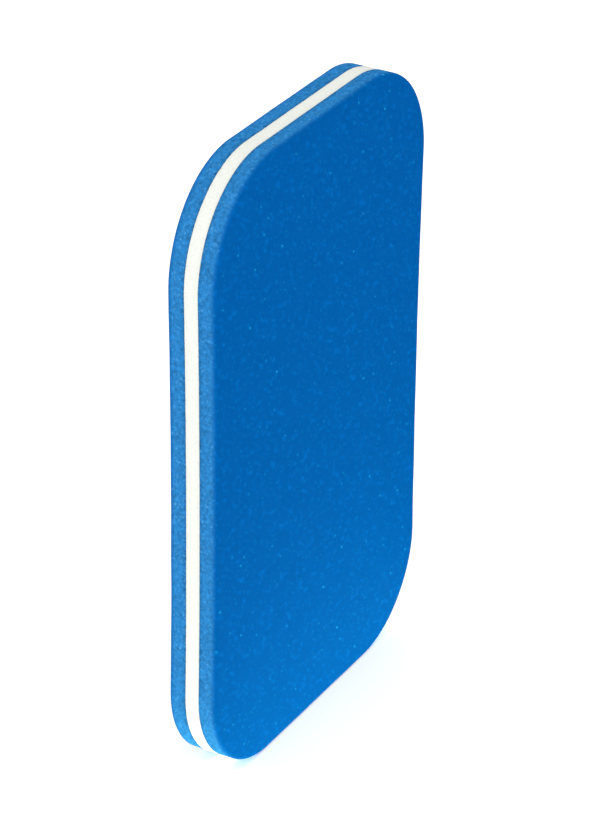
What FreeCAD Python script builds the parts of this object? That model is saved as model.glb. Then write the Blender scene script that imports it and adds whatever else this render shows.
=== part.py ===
"""A laminated foam kickboard, standing upright on one short end.

Three sheets of closed-cell foam, blue, white and blue, are bonded face to face
and cut to one outline: a rounded rectangle whose long sides draw in a little at
mid length. X is the width, Y the thickness and Z the length. The front face
looks towards -Y, and the origin is the middle of the end that it stands on.
"""

import math
import os

import FreeCAD
import Part

# Driving dimensions, in millimetres.
LENGTH = 480.0         # from end to end, along Z
WIDTH = 302.0          # along X at the widest, beside the corners
THICKNESS = 38.0       # along Y, over all the layers
SKIN = 13.4            # one blue sheet
BOND = 0.2             # one film of adhesive
TOP_RADIUS = 82.0      # of the outline's two upper corners
BOTTOM_RADIUS = 77.0   # of its two lower corners
WAIST = 2.0            # how far each long side draws in at mid length
RIM_RADIUS = 3.0       # rounding where an outer face meets the cut edge
BOND_INSET = 0.5       # how far the film stops inside the cut edge

# What follows from them.
HALF_WIDTH = WIDTH / 2.0
HALF_THICKNESS = THICKNESS / 2.0
CORE = THICKNESS - 2.0 * (SKIN + BOND)
TOP_X = HALF_WIDTH - TOP_RADIUS
TOP_Z = LENGTH - TOP_RADIUS
BOTTOM_X = HALF_WIDTH - BOTTOM_RADIUS
BOTTOM_Z = BOTTOM_RADIUS

# A long side is one hollow arc that touches both of its corner arcs, so its
# centre is as far from a corner's centre as their two radii together.
RISE = TOP_Z - BOTTOM_Z
LOWER_RISE = RISE / 2.0 - WAIST * (TOP_RADIUS - BOTTOM_RADIUS) / RISE
UPPER_RISE = RISE - LOWER_RISE
SIDE_RADIUS = (LOWER_RISE ** 2 + WAIST ** 2) / (2.0 * WAIST) - BOTTOM_RADIUS
SIDE_X = HALF_WIDTH - WAIST + SIDE_RADIUS
SIDE_Z = BOTTOM_Z + LOWER_RISE
LOWER_TURN = math.degrees(math.asin(LOWER_RISE / (SIDE_RADIUS + BOTTOM_RADIUS)))
UPPER_TURN = math.degrees(math.asin(UPPER_RISE / (SIDE_RADIUS + TOP_RADIUS)))

PARTS_FOLDER = "parts"


def around(centre_x, centre_z, radius, degrees, y):
    """The point of a circle in the plane of the sheets, counted from +X to +Z."""
    angle = math.radians(degrees)
    return FreeCAD.Vector(
        centre_x + radius * math.cos(angle),
        y,
        centre_z + radius * math.sin(angle),
    )


def arc(centre_x, centre_z, radius, start, end, y):
    """One arc of the outline, given by its centre, radius and two angles."""
    points = [
        around(centre_x, centre_z, radius, degrees, y)
        for degrees in (start, (start + end) / 2.0, end)
    ]
    return Part.Arc(*points).toShape()


def right_half(y, inset):
    """The right corners and long side, from the bottom end up to the top end."""
    lower_corner = arc(BOTTOM_X, BOTTOM_Z, BOTTOM_RADIUS - inset, -90.0, LOWER_TURN, y)
    side = arc(SIDE_X, SIDE_Z, SIDE_RADIUS + inset, 180.0 + LOWER_TURN, 180.0 - UPPER_TURN, y)
    upper_corner = arc(TOP_X, TOP_Z, TOP_RADIUS - inset, -UPPER_TURN, 90.0, y)
    return [lower_corner, side, upper_corner]


def end(half_length, z, y):
    """One straight end of the outline."""
    left = FreeCAD.Vector(-half_length, y, z)
    right = FreeCAD.Vector(half_length, y, z)
    return Part.LineSegment(left, right).toShape()


def outline(y, inset=0.0):
    """The board's closed outline at one depth, drawn in by an even inset."""
    centre = FreeCAD.Vector(0, 0, 0)
    across = FreeCAD.Vector(1, 0, 0)
    right = right_half(y, inset)
    left = [edge.mirror(centre, across) for edge in right]
    ends = [end(BOTTOM_X, inset, y), end(TOP_X, LENGTH - inset, y)]
    return Part.Wire(Part.__sortEdges__(right + left + ends))


def sheet(front_y, thickness, inset=0.0):
    """A flat sheet of the outline, from front_y back through its thickness."""
    return Part.Face(outline(front_y, inset)).extrude(FreeCAD.Vector(0, thickness, 0))


def with_round_rim(solid, face_y):
    """The sheet with the rim of its face at face_y rounded."""
    rim = [
        edge
        for edge in solid.Edges
        if abs(edge.BoundBox.YMin - face_y) < 1e-6 and abs(edge.BoundBox.YMax - face_y) < 1e-6
    ]
    return solid.makeFillet(RIM_RADIUS, rim)


def make_front_skin():
    """The blue sheet that the swimmer's arms lie on."""
    return with_round_rim(sheet(-HALF_THICKNESS, SKIN), -HALF_THICKNESS)


def make_front_bond():
    """The adhesive film between the front sheet and the white core."""
    return sheet(-HALF_THICKNESS + SKIN, BOND, BOND_INSET)


def make_core():
    """The white sheet in the middle, which shows as a stripe round the edge."""
    return sheet(-CORE / 2.0, CORE)


def make_back_bond():
    """The adhesive film between the white core and the back sheet."""
    return sheet(CORE / 2.0, BOND, BOND_INSET)


def make_back_skin():
    """The blue sheet on the water side."""
    return with_round_rim(sheet(HALF_THICKNESS - SKIN, SKIN), HALF_THICKNESS)


PIECES = {
    "front_skin": make_front_skin,
    "front_bond": make_front_bond,
    "core": make_core,
    "back_bond": make_back_bond,
    "back_skin": make_back_skin,
}


def main():
    os.makedirs(PARTS_FOLDER, exist_ok=True)
    for node, make in PIECES.items():
        shape = make()
        box = shape.optimalBoundingBox(False, False)
        shape.exportStep(f"{PARTS_FOLDER}/{node}.step")
        print(
            f"{node}: {len(shape.Solids)} solid, valid {shape.isValid()}, "
            f"{box.XLength:.2f} x {box.YLength:.2f} x {box.ZLength:.2f} mm, "
            f"{shape.Volume / 1e6:.4f} litres"
        )


main()
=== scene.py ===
"""The looks of a laminated foam kickboard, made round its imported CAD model.

The three foam sheets get meshes of their own, with the soft rim, the slightly
wavy cut edge, the cut cells and the uneven grooves along the glue lines that
real foam has. The two adhesive films stay as CAD made them.
"""

import math

import bpy
import numpy as np
from mathutils import Matrix, Vector, geometry, noise


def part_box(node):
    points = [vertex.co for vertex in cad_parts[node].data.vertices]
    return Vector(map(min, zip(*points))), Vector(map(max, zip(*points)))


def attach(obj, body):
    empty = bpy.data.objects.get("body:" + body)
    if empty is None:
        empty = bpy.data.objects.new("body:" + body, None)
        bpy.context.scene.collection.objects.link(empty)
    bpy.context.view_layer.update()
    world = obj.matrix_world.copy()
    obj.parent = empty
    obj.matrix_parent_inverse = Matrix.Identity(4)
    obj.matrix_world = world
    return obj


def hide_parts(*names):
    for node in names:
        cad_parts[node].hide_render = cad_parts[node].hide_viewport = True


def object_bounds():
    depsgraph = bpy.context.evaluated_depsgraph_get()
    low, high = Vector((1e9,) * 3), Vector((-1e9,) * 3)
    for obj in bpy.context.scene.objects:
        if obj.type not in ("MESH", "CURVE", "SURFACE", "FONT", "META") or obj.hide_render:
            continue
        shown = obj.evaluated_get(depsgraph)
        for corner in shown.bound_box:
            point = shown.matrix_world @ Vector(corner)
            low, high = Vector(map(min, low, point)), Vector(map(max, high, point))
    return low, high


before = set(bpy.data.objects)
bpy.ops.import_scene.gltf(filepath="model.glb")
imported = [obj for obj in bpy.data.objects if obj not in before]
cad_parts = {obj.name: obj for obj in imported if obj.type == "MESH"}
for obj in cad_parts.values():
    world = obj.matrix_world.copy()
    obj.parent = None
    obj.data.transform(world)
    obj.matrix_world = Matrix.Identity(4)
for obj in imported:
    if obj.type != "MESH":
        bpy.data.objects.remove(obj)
board_low, board_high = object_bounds()

MM = 0.001

# The outline's own sizes, as the board is designed. The rest comes from the frame.
TOP_RADIUS = 82 * MM
BOTTOM_RADIUS = 77 * MM
WAIST = 2 * MM
RIM_RADIUS = 3 * MM

# How finely the meshes are divided.
EDGE_STEP = 0.75 * MM    # along and across the cut edge
RIM_STEPS = 8            # round an outer rim
LIP_STEPS = 3            # round the edge of a glued face
MARGIN_STEPS = (0.7 * MM, 1.7 * MM)   # rings on an outer face, inside its rim
FACE_STEP = 3.5 * MM     # between points of an outer face
HIDDEN_STEP = 14 * MM    # between points of a face that is glued to the next sheet
CLEARANCE = 0.6          # of a face's points from its last ring, in steps
WELD = 1e-7              # the distance within which the triangulation joins points

# The cut edge.
SWAY = 0.12 * MM         # the saw's slow wander, which all three sheets share
SWAY_LENGTH = 80 * MM
SHEET_SWAY = 0.05 * MM   # each sheet's own wander on top of it
SHEET_SWAY_LENGTH = 17 * MM
CELL_DEPTH = 0.16 * MM   # of the cut cells
CELL_SIZE = 2.2 * MM
CELL_STEEPNESS = 1.6     # of a cell's sides
CELL_ROUNDNESS = 0.7     # the power that domes it, below 1
SHEET_OFFSET = 0.1       # metres between the parts of the cell pattern that the sheets use
CUT_FADE = (0.2 * MM, 4.6 * MM)   # below an open face, where its texture gives way to the cut one

# The joints between the sheets.
LIP = 0.18 * MM          # rounding of a glued face's edge, which leaves a groove
GROOVE = 0.06 * MM       # how much deeper the groove is in places
GROOVE_LENGTH = 5 * MM   # how quickly that changes along the joint
PAINTED_JOINT_SHADE_REACH = 1.8 * MM          # how far the painted shade along the joint reaches beside it

# The sliced faces.
FACE_SWELL = 0.12 * MM   # their gentle unevenness
FACE_SWELL_LENGTH = 45 * MM
FACE_SWELL_REACH = 12 * MM   # the depth at which it has died away

# The grain is drawn out along one slant of the sheets. Real foam isn't known to be: this was
# chosen so that the grain looks more even from the camera's side.
GRAIN_TURN = (0, math.radians(31), 0)
GRAIN_SCALE = (1.6, 1, 0.93)

# Small tears beside the joints: where they are, their radius and their depth.
NICKS = [
    ((-149.7, -5.8, 333), 1.5, 0.8),
    ((-102.4, 5.9, 472.9), 1.4, 0.8),
    ((-149.9, 5.7, 118), 1.2, 0.5),
    ((149.6, -5.9, 262), 1.4, 0.6),
    ((150.9, 12.5, 96), 1.6, 0.5),
]

# Colours of the foams and the glue, as linear red, green and blue.
FACE_BLUE = (0.0002, 0.0935, 0.345)
# The cut edge is paler than the face, partly for its open cells and partly as painted sheen.
CUT_BLUE = (0.0215, 0.186, 0.470)
FACE_SPECK = (0.0080, 0.300, 0.640)
CUT_SPECK = (0.1100, 0.400, 0.760)
CORE_WHITE = (0.752, 0.776, 0.727)
# The core's darker tone, for its random grain and also for painted shade in its pits and along the
# joints.
CORE_SHADE = (0.650, 0.680, 0.630)
GLUE_DARK = (0.060, 0.160, 0.320)
GLUE_PALE = (0.130, 0.260, 0.440)

# The camera's place about the board's centre.
CAMERA_AZIMUTH = -60.84
CAMERA_ELEVATION = 28.35
CAMERA_ROLL = 0.75
CAMERA_DISTANCE = 2.660
CAMERA_LENS = 157.60     # millimetres, on a 36 mm long side
AIM_RIGHT = 0.85 * MM
AIM_UP = -5.0 * MM

# The studio, in metres. A light's radiance is that of its glowing face.
FLOOR_REACH = 14.0
FLOOR_WHITE = (0.92, 0.92, 0.92)
FLOOR_GLOW = 0.29
HORIZON_LIGHT = 0.80
ZENITH_LIGHT = 1.00
KEY_PLACE = (-2.1, -0.5, 2.6)
KEY_SIZE = (1.6, 1.6)
KEY_RADIANCE = 4.0
FILL_PLACE = (-0.02, 0, 1 * MM)   # flat, just above the floor, round the board's foot
FILL_TARGET = (-0.02, 0, 1)
FILL_SIZE = (0.42, 0.46)
FILL_RADIANCE = 1.85
FILL_TINT = (1.0, 1.0, 0.7)


# ---------------------------------------------------------------- the outline

def arc(centre, radius, start, end):
    """Points of an arc and the directions from its centre, with the last left out."""
    count = max(2, round(abs(end - start) * radius / EDGE_STEP))
    angles = start + (end - start) * np.arange(count) / count
    outward = np.column_stack([np.cos(angles), np.sin(angles)])
    return np.array(centre) + radius * outward, outward


def line(start, end, outward):
    """Points of a straight run and its direction outwards, with the last left out."""
    start, end = np.array(start, float), np.array(end, float)
    count = max(2, round(np.linalg.norm(end - start) / EDGE_STEP))
    share = (np.arange(count) / count)[:, None]
    return start + (end - start) * share, np.tile(np.array(outward, float), (count, 1))


def board_outline(half_width, length):
    """The board's outline in X and Z, anticlockwise, and its directions outwards."""
    top_x, top_z = half_width - TOP_RADIUS, length - TOP_RADIUS
    bottom_x, bottom_z = half_width - BOTTOM_RADIUS, BOTTOM_RADIUS
    rise = top_z - bottom_z
    lower_rise = rise / 2 - WAIST * (TOP_RADIUS - BOTTOM_RADIUS) / rise
    side_radius = (lower_rise ** 2 + WAIST ** 2) / (2 * WAIST) - BOTTOM_RADIUS
    side_x, side_z = half_width - WAIST + side_radius, bottom_z + lower_rise
    low = math.asin(lower_rise / (side_radius + BOTTOM_RADIUS))
    high = math.asin((rise - lower_rise) / (side_radius + TOP_RADIUS))
    quarter, half = math.pi / 2, math.pi
    right_side, from_right = arc((side_x, side_z), side_radius, half + low, half - high)
    left_side, from_left = arc((-side_x, side_z), side_radius, high, -low)
    runs = [
        line((-bottom_x, 0), (bottom_x, 0), (0, -1)),
        arc((bottom_x, bottom_z), BOTTOM_RADIUS, -quarter, low),
        (right_side, -from_right),
        arc((top_x, top_z), TOP_RADIUS, -high, quarter),
        line((top_x, length), (-top_x, length), (0, 1)),
        arc((-top_x, top_z), TOP_RADIUS, quarter, half + high),
        (left_side, -from_left),
        arc((-bottom_x, bottom_z), BOTTOM_RADIUS, half - low, half + quarter),
    ]
    return np.vstack([run[0] for run in runs]), np.vstack([run[1] for run in runs])


# ------------------------------------------------------------ meshes of sheets

def rim(radius, steps):
    """Rings round a rim, from the edge to the face: each one's depth below the face and inset."""
    leans = np.linspace(0, math.pi / 2, steps + 1)
    return [(radius * (1 - math.sin(a)), radius * (1 - math.cos(a))) for a in leans]


def rings_across(front_y, back_y, front_rim, back_rim):
    """Rings over a sheet's edge from its front face to its back one: each one's y and inset."""
    front = [(front_y + depth, inset) for depth, inset in reversed(front_rim)]
    back = [(back_y - depth, inset) for depth, inset in back_rim]
    start, end = front[-1][0], back[0][0]
    count = round((end - start) / EDGE_STEP)
    middle = [(start + (end - start) * k / count, 0.0) for k in range(1, count)]
    return front + middle + back


def inner_points(ring, outward, step):
    """An even field of points inside a ring, a step or so away from it."""
    low, high = ring.min(0), ring.max(0)
    kept = []
    for k, z in enumerate(np.arange(low[1], high[1], step * math.sqrt(3) / 2)):
        across = np.arange(low[0] + step * (k % 2) / 2, high[0], step)
        row = np.column_stack([across, np.full(len(across), z)])
        nearest = ((row[:, None, :] - ring[None, :, :]) ** 2).sum(2).argmin(1)
        depth = -((row - ring[nearest]) * outward[nearest]).sum(1)
        kept.append(row[depth > CLEARANCE * step])
    return np.vstack(kept)


def fill(ring, inner):
    """Triangles that fill a closed ring, through the points inside it.

    Each has a point inside. One with none would be a sliver across a hollow side.
    """
    points = [Vector(p) for p in np.vstack([ring, inner])]
    found = geometry.delaunay_2d_cdt(points, [], [range(len(ring))], 1, WELD, True)
    source = [origins[0] for origins in found[3]]
    triangles = [[source[v] for v in triangle] for triangle in found[2]]
    return [triangle for triangle in triangles if max(triangle) >= len(ring)]


class Sheet:
    """A sheet's smooth surface: its points, which way is out from each, and its faces."""

    def __init__(self, node, front_open, back_open):
        self.front_y, self.back_y = (corner.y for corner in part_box(node))
        self.outline, self.outline_outward = board_outline(board_high.x, board_high.z)
        self.count = len(self.outline)
        self.points, self.outward, self.faces = [], [], []
        self.total = 0
        rims = [
            rim(RIM_RADIUS, RIM_STEPS) + [(0.0, RIM_RADIUS + step) for step in MARGIN_STEPS]
            if is_open else rim(LIP, LIP_STEPS)
            for is_open in (front_open, back_open)
        ]
        rings = rings_across(self.front_y, self.back_y, *rims)
        for y, inset in rings:
            self.add(self.ring(inset), y, self.outline_outward)
        for k in range(len(rings) - 1):
            self.join(k * self.count, (k + 1) * self.count)
        last = self.total - self.count
        self.close(self.front_y, rims[0][-1][1], 0, -1, FACE_STEP if front_open else HIDDEN_STEP)
        self.close(self.back_y, rims[1][-1][1], last, 1, FACE_STEP if back_open else HIDDEN_STEP)
        self.points, self.outward = np.vstack(self.points), np.vstack(self.outward)
        from_front, to_back = self.points[:, 1] - self.front_y, self.back_y - self.points[:, 1]
        depths = [(front_open, from_front), (back_open, to_back)]
        self.to_face = self.nearest(depth for is_open, depth in depths if is_open)
        self.to_glue = self.nearest(depth for is_open, depth in depths if not is_open)

    def nearest(self, depths):
        """The least of some depths at each point, or a metre where there are none."""
        return np.minimum.reduce([np.ones(len(self.points)), *depths])

    def ring(self, inset):
        return self.outline - self.outline_outward * inset

    def add(self, flat, y, outward):
        self.points.append(np.column_stack([flat[:, 0], np.full(len(flat), y), flat[:, 1]]))
        self.outward.append(np.column_stack([outward[:, 0], np.zeros(len(flat)), outward[:, 1]]))
        self.total += len(flat)

    def join(self, front, back):
        """A band of faces between two rings, given by their first points."""
        for i in range(self.count):
            j = (i + 1) % self.count
            self.faces.append((front + i, back + i, back + j, front + j))

    def close(self, y, inset, first, facing, step):
        """A face of the sheet, inside its last ring."""
        ring = self.ring(inset)
        inner = inner_points(ring, self.outline_outward, step)
        number = [*range(first, first + self.count), *range(self.total, self.total + len(inner))]
        for triangle in fill(ring, inner):
            self.faces.append([number[v] for v in triangle[::-facing]])
        self.add(inner, y, np.zeros((len(inner), 2)))


def wander(points, length, offset):
    """Smooth noise from about -1 to 1 that varies over a length."""
    shift = Vector(offset)
    return np.array([noise.noise(Vector(p) / length + shift) for p in points]) * 2


def cells(points, size):
    """Rounded cells: 0 on the walls between them and up to 1 in their middles."""
    apart = [noise.voronoi(Vector(p) / size)[0] for p in points]
    rise = [np.clip((near[1] - near[0]) * CELL_STEEPNESS, 0, 1) for near in apart]
    return np.array([height ** CELL_ROUNDNESS for height in rise])


def nick_depth(points):
    """How far the small tears cut into the edge at each point."""
    depth = np.zeros(len(points))
    for place, radius, deep in NICKS:
        away = np.linalg.norm(points - np.array(place) * MM, axis=1) / (radius * MM)
        depth += deep * MM * np.exp(-2 * away ** 2)
    return depth


def make_sheet(name, node, material, front_open, back_open, seed):
    """A foam sheet. An open face has the soft outer rim, and a glued one only a lip."""
    shape = Sheet(node, front_open, back_open)
    points = shape.points
    edge = np.abs(shape.outward).sum(1) > 0
    fade = np.clip((shape.to_face - CUT_FADE[0]) / (CUT_FADE[1] - CUT_FADE[0]), 0, 1)
    cut = fade ** 2 * (3 - 2 * fade) * edge
    # Painted shade along the joints: strongest at a glued face and fading away from it.
    painted_joint_shade = np.exp(-(shape.to_glue / PAINTED_JOINT_SHADE_REACH) ** 2) * edge
    # The cut cells' heights: they sink the cut face, and the shaders darken the pits with them as
    # painted shade.
    pit = np.zeros(len(points))
    pit[edge] = cells(points[edge] + [0, seed * SHEET_OFFSET, 0], CELL_SIZE)

    along = points * [1, 0, 1]
    inward = CELL_DEPTH * (pit - 0.5) * cut + nick_depth(points)
    inward[edge] -= SWAY * wander(along[edge], SWAY_LENGTH, (3, 7, 1))
    inward[edge] -= SHEET_SWAY * wander(along[edge], SHEET_SWAY_LENGTH, (seed * 9, 2, 5))
    uneven = np.abs(wander(along[edge], GROOVE_LENGTH, (seed * 3, 4, 6)))
    inward[edge] += GROOVE * uneven * np.exp(-(shape.to_glue[edge] / LIP) ** 2)
    swell = FACE_SWELL * wander(along, FACE_SWELL_LENGTH, (1, seed * 5, 8))
    placed = points - shape.outward * inward[:, None]
    placed[:, 1] += swell * np.clip(1 - shape.to_face / FACE_SWELL_REACH, 0, 1)
    placed[:, 2] = np.maximum(placed[:, 2], 0)

    mesh = bpy.data.meshes.new(name)
    mesh.from_pydata(placed.tolist(), [], shape.faces)
    mesh.shade_smooth()
    for label, values in (("cut", cut), ("pit", pit), ("painted_joint_shade", painted_joint_shade)):
        mesh.attributes.new(label, "FLOAT", "POINT").data.foreach_set("value", values)
    mesh.materials.append(material)
    sheet = bpy.data.objects.new(name, mesh)
    bpy.context.scene.collection.objects.link(sheet)
    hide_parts(node)
    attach(sheet, "root")


# ------------------------------------------------------------------- materials

class Shading:
    """A material's node tree, with short ways to add to it."""

    def __init__(self, name):
        self.material = bpy.data.materials.new(name)
        self.material.use_nodes = True
        self.tree = self.material.node_tree
        self.surface = self.tree.nodes["Principled BSDF"]
        place = self.node("ShaderNodeTexCoord").outputs["Object"]
        grain = {"Vector": place, "Rotation": GRAIN_TURN, "Scale": GRAIN_SCALE}
        self.place = self.node("ShaderNodeMapping", grain, vector_type="TEXTURE").outputs[0]

    def node(self, kind, inputs=(), **settings):
        made = self.tree.nodes.new(kind)
        for setting, value in settings.items():
            setattr(made, setting, value)
        for socket, value in dict(inputs).items():
            self.put(made.inputs[socket], value)
        return made

    def put(self, socket, value):
        """A value, a colour or another node's output, put into a socket."""
        if isinstance(value, bpy.types.NodeSocket):
            self.tree.links.new(value, socket)
        elif socket.type == "RGBA":
            socket.default_value = (*value, 1)
        else:
            socket.default_value = value

    def attribute(self, name):
        return self.node("ShaderNodeAttribute", attribute_name=name).outputs["Fac"]

    def add(self, *values):
        total = values[0]
        for value in values[1:]:
            total = self.node("ShaderNodeMath", {0: total, 1: value}, operation="ADD").outputs[0]
        return total

    def times(self, a, b):
        return self.node("ShaderNodeMath", {0: a, 1: b}, operation="MULTIPLY").outputs[0]

    def ramp(self, value, low, high, to_low=0.0, to_high=1.0):
        """A smooth step of value between two bounds, onto a new range."""
        inputs = {"Value": value, 1: low, 2: high, 3: to_low, 4: to_high}
        step = self.node("ShaderNodeMapRange", inputs, interpolation_type="SMOOTHSTEP")
        return step.outputs[0]

    def noise(self, size, amount, detail=2.0, roughness=0.5):
        """Noise about 0, with features of a size and values mostly within plus or minus amount."""
        inputs = {"Vector": self.place, "Scale": 1 / size, "Detail": detail, "Roughness": roughness}
        found = self.node("ShaderNodeTexNoise", inputs).outputs[0]
        return self.times(self.add(found, -0.5), 4 * amount)

    def cells(self, size):
        inputs = {"Vector": self.place, "Scale": 1 / size}
        return self.node("ShaderNodeTexVoronoi", inputs)

    def pores(self):
        """The fine closed cells of any foam, as a height about 0."""
        return self.times(self.add(self.cells(0.7 * MM).outputs["Distance"], -0.5), 0.5)

    def specks(self, size, radius, rarity):
        """Small round spots with soft edges, one to each cell, of which few are strong."""
        found = self.cells(size)
        spot = self.ramp(found.outputs["Distance"], radius / size, 0.2 * radius / size)
        own = self.node("ShaderNodeSeparateColor", {0: found.outputs["Color"]}).outputs[0]
        own = self.node("ShaderNodeMath", {0: own, 1: rarity}, operation="POWER").outputs[0]
        return self.times(spot, own)

    def mix(self, share, a, b):
        """Two colours mixed by a share."""
        made = self.node("ShaderNodeMix", data_type="RGBA", clamp_factor=True)
        self.put(made.inputs["Factor"], share)
        self.put(made.inputs[6], a)
        self.put(made.inputs[7], b)
        return made.outputs[2]

    def brighten(self, colour, amount):
        """A colour times one plus an amount."""
        made = self.node("ShaderNodeVectorMath", operation="SCALE")
        self.put(made.inputs[0], colour)
        self.put(made.inputs["Scale"], self.add(amount, 1.0))
        return made.outputs[0]

    def finish(self, colour, roughness, relief, depth, gloss):
        self.put(self.surface.inputs["Base Color"], colour)
        self.put(self.surface.inputs["Roughness"], roughness)
        self.surface.inputs["Specular IOR Level"].default_value = gloss
        bump = self.node("ShaderNodeBump", {"Height": relief, "Distance": depth, "Strength": 1.0})
        self.put(self.surface.inputs["Normal"], bump.outputs[0])
        return self.material


def blue_foam():
    """Fine-celled blue foam: deep and even on the sliced face, coarse where cut and paler there,
    partly for its open cells and partly as painted sheen.
    """
    s = Shading("blue_foam")
    cut, pit, painted_joint_shade = s.attribute("cut"), s.attribute("pit"), s.attribute("painted_joint_shade")
    cloud = s.noise(18 * MM, 0.06)
    grain = s.noise(2.8 * MM, 0.28, 2.0, 0.6)
    patches = s.ramp(s.noise(4.5 * MM, 0.5, 1.0, 0.4), 0.0, 0.7)
    bright = s.specks(9 * MM, 1.5 * MM, 2.0)
    faint = s.specks(3.6 * MM, 1.4 * MM, 1.5)
    tiny = s.specks(2.0 * MM, 1.0 * MM, 1.5)

    tone = s.add(s.times(cloud, 0.6), s.times(patches, 0.28), s.times(grain, 0.06))
    face = s.brighten(FACE_BLUE, tone)
    face = s.mix(s.add(s.times(bright, 0.8), s.times(faint, 0.20)), face, FACE_SPECK)
    shade = s.add(s.times(cloud, 0.6), grain, s.times(patches, 0.12))
    # Darker in the cut cells' pits and along the joints: painted shade.
    shade = s.add(shade, s.times(pit, -0.08), s.times(painted_joint_shade, -0.22))
    # The paler cut edge: partly its open cells, partly painted sheen.
    edge = s.brighten(CUT_BLUE, shade)
    spots = s.add(s.times(bright, 0.9), s.times(faint, 0.35), s.times(tiny, 0.40))
    edge = s.mix(spots, edge, CUT_SPECK)
    colour = s.mix(cut, face, edge)

    relief = s.add(s.pores(), s.times(grain, 0.5), s.times(spots, 0.4))
    relief = s.times(relief, s.ramp(cut, 0, 1, 0.1, 0.9))
    roughness = s.add(s.times(grain, 0.3), s.ramp(cut, 0, 1, 0.70, 0.86))
    return s.finish(colour, roughness, relief, 0.3 * MM, 0.002)


def white_foam():
    """The white core, whose cut cells show only as a soft texture, with painted shade in their pits
    and along the joints.
    """
    s = Shading("white_foam")
    grain = s.noise(2.6 * MM, 0.5, 3.0, 0.6)
    # Random grain, and greyer in the cells' pits: painted shade.
    shade = s.add(s.times(grain, 0.75), s.times(s.attribute("pit"), 0.35))
    # Greyer along the joints: painted shade.
    shade = s.add(shade, s.times(s.attribute("painted_joint_shade"), 0.5))
    roughness = s.add(s.times(grain, 0.08), 0.85)
    colour = s.mix(shade, CORE_WHITE, CORE_SHADE)
    return s.finish(colour, roughness, s.add(s.pores(), s.times(grain, 0.35)), 0.3 * MM, 0.1)


def adhesive():
    """The cured film that shows as a hairline at the bottom of a groove."""
    s = Shading("adhesive")
    grain = s.noise(1.5 * MM, 0.5)
    colour = s.mix(s.add(grain, 0.5), GLUE_DARK, GLUE_PALE)
    return s.finish(colour, s.add(s.times(grain, 0.1), 0.5), grain, 0.05 * MM, 0.3)


# ----------------------------------------------------------------- the studio

def add_floor():
    """A plain pale floor that glows a little, as a light table does."""
    mesh = bpy.data.meshes.new("floor")
    reach = FLOOR_REACH
    corners = [(-reach, -reach, 0), (reach, -reach, 0), (reach, reach, 0), (-reach, reach, 0)]
    mesh.from_pydata(corners, [], [(0, 1, 2, 3)])
    s = Shading("floor")
    for socket, value in (
        ("Base Color", FLOOR_WHITE),
        ("Roughness", 0.9),
        ("Specular IOR Level", 0.0),
        ("Emission Color", (1.0, 1.0, 1.0)),
        ("Emission Strength", FLOOR_GLOW),
    ):
        s.put(s.surface.inputs[socket], value)
    mesh.materials.append(s.material)
    floor = bpy.data.objects.new("floor", mesh)
    bpy.context.scene.collection.objects.link(floor)


def add_light(name, place, target, size, radiance, colour=(1.0, 1.0, 1.0)):
    """A rectangular soft box that faces a point, unseen by the camera."""
    lamp = bpy.data.lights.new(name, "AREA")
    lamp.shape = "RECTANGLE"
    lamp.size, lamp.size_y = size
    lamp.energy = radiance * math.pi * size[0] * size[1]
    lamp.color = colour
    box = bpy.data.objects.new(name, lamp)
    box.location = place
    box.rotation_euler = (Vector(target) - Vector(place)).to_track_quat("-Z", "Y").to_euler()
    box.visible_camera = False
    bpy.context.scene.collection.objects.link(box)


def add_world(horizon, zenith):
    """A plain white surround, whose brightness varies evenly from the horizon to overhead."""
    world = bpy.data.worlds.new("studio")
    world.use_nodes = True
    tree = world.node_tree
    direction = tree.nodes.new("ShaderNodeTexCoord")
    axes = tree.nodes.new("ShaderNodeSeparateXYZ")
    level = tree.nodes.new("ShaderNodeMapRange")
    tree.links.new(direction.outputs["Generated"], axes.inputs[0])
    tree.links.new(axes.outputs["Z"], level.inputs["Value"])
    tree.links.new(level.outputs[0], tree.nodes["Background"].inputs["Strength"])
    level.inputs["To Min"].default_value = horizon
    level.inputs["To Max"].default_value = zenith
    tree.nodes["Background"].inputs["Color"].default_value = (1, 1, 1, 1)
    bpy.context.scene.world = world


def add_camera(centre):
    """A long lens that looks down on the board from the front and its left."""
    azimuth, elevation = math.radians(CAMERA_AZIMUTH), math.radians(CAMERA_ELEVATION)
    back = Vector((
        math.sin(azimuth) * math.cos(elevation),
        -math.cos(azimuth) * math.cos(elevation),
        math.sin(elevation),
    ))
    level = Vector((math.cos(azimuth), math.sin(azimuth), 0))
    upright = back.cross(level)
    roll = math.radians(CAMERA_ROLL)
    right = math.cos(roll) * level + math.sin(roll) * upright
    up = math.cos(roll) * upright - math.sin(roll) * level
    aim = centre + AIM_RIGHT * right + AIM_UP * up
    turn = Matrix((right, up, back)).transposed().to_4x4()
    camera = bpy.data.objects.new("camera", bpy.data.cameras.new("camera"))
    camera.data.lens = CAMERA_LENS
    camera.matrix_world = Matrix.Translation(aim + CAMERA_DISTANCE * back) @ turn
    bpy.context.scene.collection.objects.link(camera)
    bpy.context.scene.camera = camera


# ------------------------------------------------------------------ the scene

board_centre = (board_low + board_high) / 2
blue = blue_foam()
make_sheet("front_foam_sheet", "front_skin", blue, True, False, 1)
make_sheet("core_foam_sheet", "core", white_foam(), False, False, 2)
make_sheet("back_foam_sheet", "back_skin", blue, False, True, 3)

glue = adhesive()
for film in ("front_bond", "back_bond"):
    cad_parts[film].data.materials.clear()
    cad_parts[film].data.materials.append(glue)

add_floor()
add_world(HORIZON_LIGHT, ZENITH_LIGHT)
add_light("key", KEY_PLACE, board_centre, KEY_SIZE, KEY_RADIANCE)
add_light("low_fill", FILL_PLACE, FILL_TARGET, FILL_SIZE, FILL_RADIANCE, FILL_TINT)
add_camera(board_centre)
bpy.context.scene.view_settings.view_transform = "Standard"
